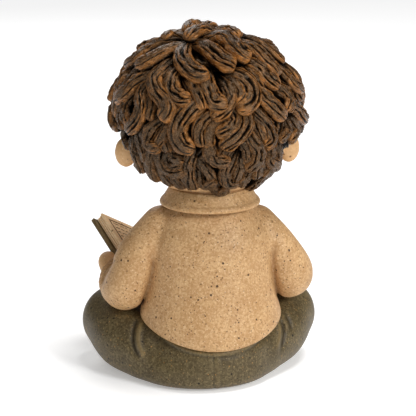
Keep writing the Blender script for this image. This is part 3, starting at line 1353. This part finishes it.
def skin_paint():
    tones = colour(196, 152, 103), colour(212, 168, 118), colour(226, 190, 146)
    material, tree, shader, tone, _ = stone_paint(
        "skin_paint", tones, colour(110, 72, 42), colour(236, 208, 172), 0.5, dark_share=0.35, grain=0.6
    )
    tone = blend(tree, times(tree, kept_number(tree, "blush"), 0.45), tone, colour(196, 112, 76))
    tree.links.new(tone, shader.inputs["Base Color"])
    return material


def trouser_paint():
    tones = colour(74, 62, 38), colour(98, 85, 56), colour(128, 112, 78)
    material, tree, shader, tone, where = stone_paint(
        "trouser_paint", tones, colour(26, 22, 12), colour(168, 140, 92), 0.48, dark_share=0.8
    )
    pressed = kept_number(tree, "pressed")
    ochre = specks(tree, shifted(tree, where, (1, 6, 8)), 0.7, 0.7, 0.36)
    tone = blend(tree, times(tree, ochre, 0.7), tone, colour(176, 128, 66))
    tone = blend(tree, times(tree, stretch(tree, pressed, 0.12, 1.0), 0.75), tone, colour(40, 32, 16))
    edge = times(tree, stretch(tree, pressed, -0.12, -0.6), 0.45)
    tone = blend(tree, edge, tone, colour(140, 118, 78))
    tree.links.new(tone, shader.inputs["Base Color"])
    return material


def hair_paint(name, shine):
    """Dark brown with the ridges dry-brushed in orange brown, by the numbers kept on each lock."""
    material, tree, shader, where = start_paint(name)
    crest, brushed, tone, across, along = (
        kept_number(tree, key) for key in ("crest", "brushed", "tone", "across", "along")
    )
    drawn_out = {0: across, 1: times(tree, along, 0.22), 2: times(tree, tone, 90)}
    lengthwise = node(tree, "ShaderNodeCombineXYZ", drawn_out).outputs[0]
    streaks = noise(tree, lengthwise, 1.5, 4, 0.65)
    nicks = noise(tree, lengthwise, 3.2, 2, 0.5)
    patch = noise(tree, where, 0.35, 3, 0.6)
    grain = noise(tree, where, 2.4, 3, 0.65)
    fine = maths(tree, "ADD", times(tree, streaks, 0.6), times(tree, grain, 0.4))
    deep, plain = colour(4, 3, 2), colour(76, 52, 29)
    warm, bright = colour(168, 108, 50), colour(226, 172, 110)
    base = blend(tree, stretch(tree, streaks, 0.40, 0.60), colour(30, 20, 11), plain)
    base = blend(tree, times(tree, tone, 0.5), base, colour(92, 64, 35))
    amount = times(tree, brushed, maths(tree, "ADD", 0.35, stretch(tree, patch, 0.35, 0.6)), clamp=True)
    base = blend(tree, amount, base, warm)
    glint = times(tree, stretch(tree, fine, 0.54, 0.66), times(tree, brushed, 0.8))
    base = blend(tree, glint, base, bright)
    base = blend(tree, times(tree, stretch(tree, nicks, 0.40, 0.32), 0.75), base, deep)
    base = blend(tree, stretch(tree, crest, 0.85, 0.15), base, deep)
    tree.links.new(base, shader.inputs["Base Color"])
    tree.links.new(maths(tree, "ADD", 0.14, times(tree, fine, 0.26)), shader.inputs["Roughness"])
    shader.inputs["Specular IOR Level"].default_value = shine
    shader.inputs["Specular Tint"].default_value = (1, 0.74, 0.5, 1)
    height = maths(tree, "SUBTRACT", fine, times(tree, stretch(tree, nicks, 0.44, 0.32), 0.7))
    bump = node(tree, "ShaderNodeBump", {"Strength": 1.0, "Distance": 0.0006, "Height": height})
    tree.links.new(bump.outputs[0], shader.inputs["Normal"])
    return material


def page_paint():
    tones = colour(222, 184, 136), colour(240, 208, 164), colour(250, 230, 200)
    dark, light = colour(120, 86, 50), colour(236, 216, 184)
    return stone_paint("page_paint", tones, dark, light, 0.55, dark_share=0.3, grain=0.7)[0]


def cover_paint():
    tones = colour(92, 74, 44), colour(118, 97, 62), colour(146, 122, 82)
    dark, light = colour(24, 18, 9), colour(140, 112, 74)
    return stone_paint("cover_paint", tones, dark, light, 0.45, dark_share=0.6, grain=0.8)[0]


def ink_paint():
    material, tree, shader, where = start_paint("engraving_wash")
    fine = noise(tree, where, 1.8, 3)
    tree.links.new(blend(tree, fine, colour(96, 64, 34), colour(140, 100, 60)), shader.inputs["Base Color"])
    shader.inputs["Roughness"].default_value = 0.7
    return material


# Stage: lights from places in metres, with their power in watts and size in metres

SUN_FROM = (-0.20, 0.10, 0.97)
SUN_POWER = 1.45
SUN_WIDTH_DEG = 18
AREA_LIGHTS = (
    ("soft", (-0.48, 0.72, 0.50), 5.2, 0.25),
    ("fill", (0.35, 0.50, 0.79), 0.8, 0.3),
    ("front", (0.1, -0.8, 0.6), 2.4, 0.5),
)
ROOM_LIGHT = 0.15
FLOOR_GLOW = 0.34
FLOOR_HALF_SIDE = 4


def make_floor():
    shape = bmesh.new()
    bmesh.ops.create_grid(shape, x_segments=1, y_segments=1, size=FLOOR_HALF_SIDE)
    mesh = bpy.data.meshes.new("floor")
    shape.to_mesh(mesh)
    shape.free()
    material, tree, shader, _ = start_paint("white_floor")
    shader.inputs["Base Color"].default_value = (0.9, 0.9, 0.9, 1)
    shader.inputs["Roughness"].default_value = 0.9
    shader.inputs["Specular IOR Level"].default_value = 0.1
    shader.inputs["Emission Color"].default_value = (1, 1, 1, 1)
    shader.inputs["Emission Strength"].default_value = FLOOR_GLOW
    mesh.materials.append(material)
    floor = bpy.data.objects.new("floor", mesh)
    bpy.context.scene.collection.objects.link(floor)


def add_light(name, place, power, size):
    """A square soft light that points at the figure, at a place in metres."""
    lamp = bpy.data.lights.new(name, "AREA")
    lamp.energy = power
    lamp.size = size
    obj = bpy.data.objects.new(name, lamp)
    obj.location = place
    obj.rotation_mode = "QUATERNION"
    obj.rotation_quaternion = (Vector(place) - CAMERA_TARGET * MM).to_track_quat("Z", "Y")
    bpy.context.scene.collection.objects.link(obj)


def make_lights():
    sun = bpy.data.lights.new("key", "SUN")
    sun.energy = SUN_POWER
    sun.angle = math.radians(SUN_WIDTH_DEG)
    key = bpy.data.objects.new("key", sun)
    key.rotation_mode = "QUATERNION"
    key.rotation_quaternion = Vector(SUN_FROM).to_track_quat("Z", "Y")
    bpy.context.scene.collection.objects.link(key)
    for name, place, power, size in AREA_LIGHTS:
        add_light(name, place, power, size)
    world = bpy.data.worlds.new("white_room")
    world.use_nodes = True
    background = world.node_tree.nodes["Background"]
    background.inputs[0].default_value = (1, 1, 1, 1)
    background.inputs[1].default_value = ROOM_LIGHT
    bpy.context.scene.world = world
    bpy.context.scene.view_settings.view_transform = "Standard"


def make_camera():
    back, _, _ = camera_axes()
    lens = bpy.data.cameras.new("camera")
    lens.sensor_width = SENSOR
    lens.lens = SENSOR * CAMERA_DISTANCE / (PIXEL * PICTURE_SIDE)
    camera = bpy.data.objects.new("camera", lens)
    camera.location = (CAMERA_TARGET + back * CAMERA_DISTANCE) * MM
    camera.rotation_mode = "QUATERNION"
    camera.rotation_quaternion = (-back).to_track_quat("-Z", "Y")
    lens.clip_start = 0.01
    bpy.context.scene.collection.objects.link(camera)
    bpy.context.scene.camera = camera


make_camera()
make_floor()
make_lights()
HAIR, HAIR_SHADOW = hair_paint("hair_paint", 0.7), hair_paint("hair_shadow", 0.03)
SKIN, SHIRT = skin_paint(), shirt_paint()
make_hair((HAIR, HAIR_SHADOW))
make_scalp(HAIR_SHADOW)
make_head(SKIN, HAIR)
make_shirt(SHIRT)
make_collar(SHIRT)
make_trousers(trouser_paint())
make_feet(SKIN)
make_book(cover_paint(), page_paint(), ink_paint())
make_hands(SKIN)
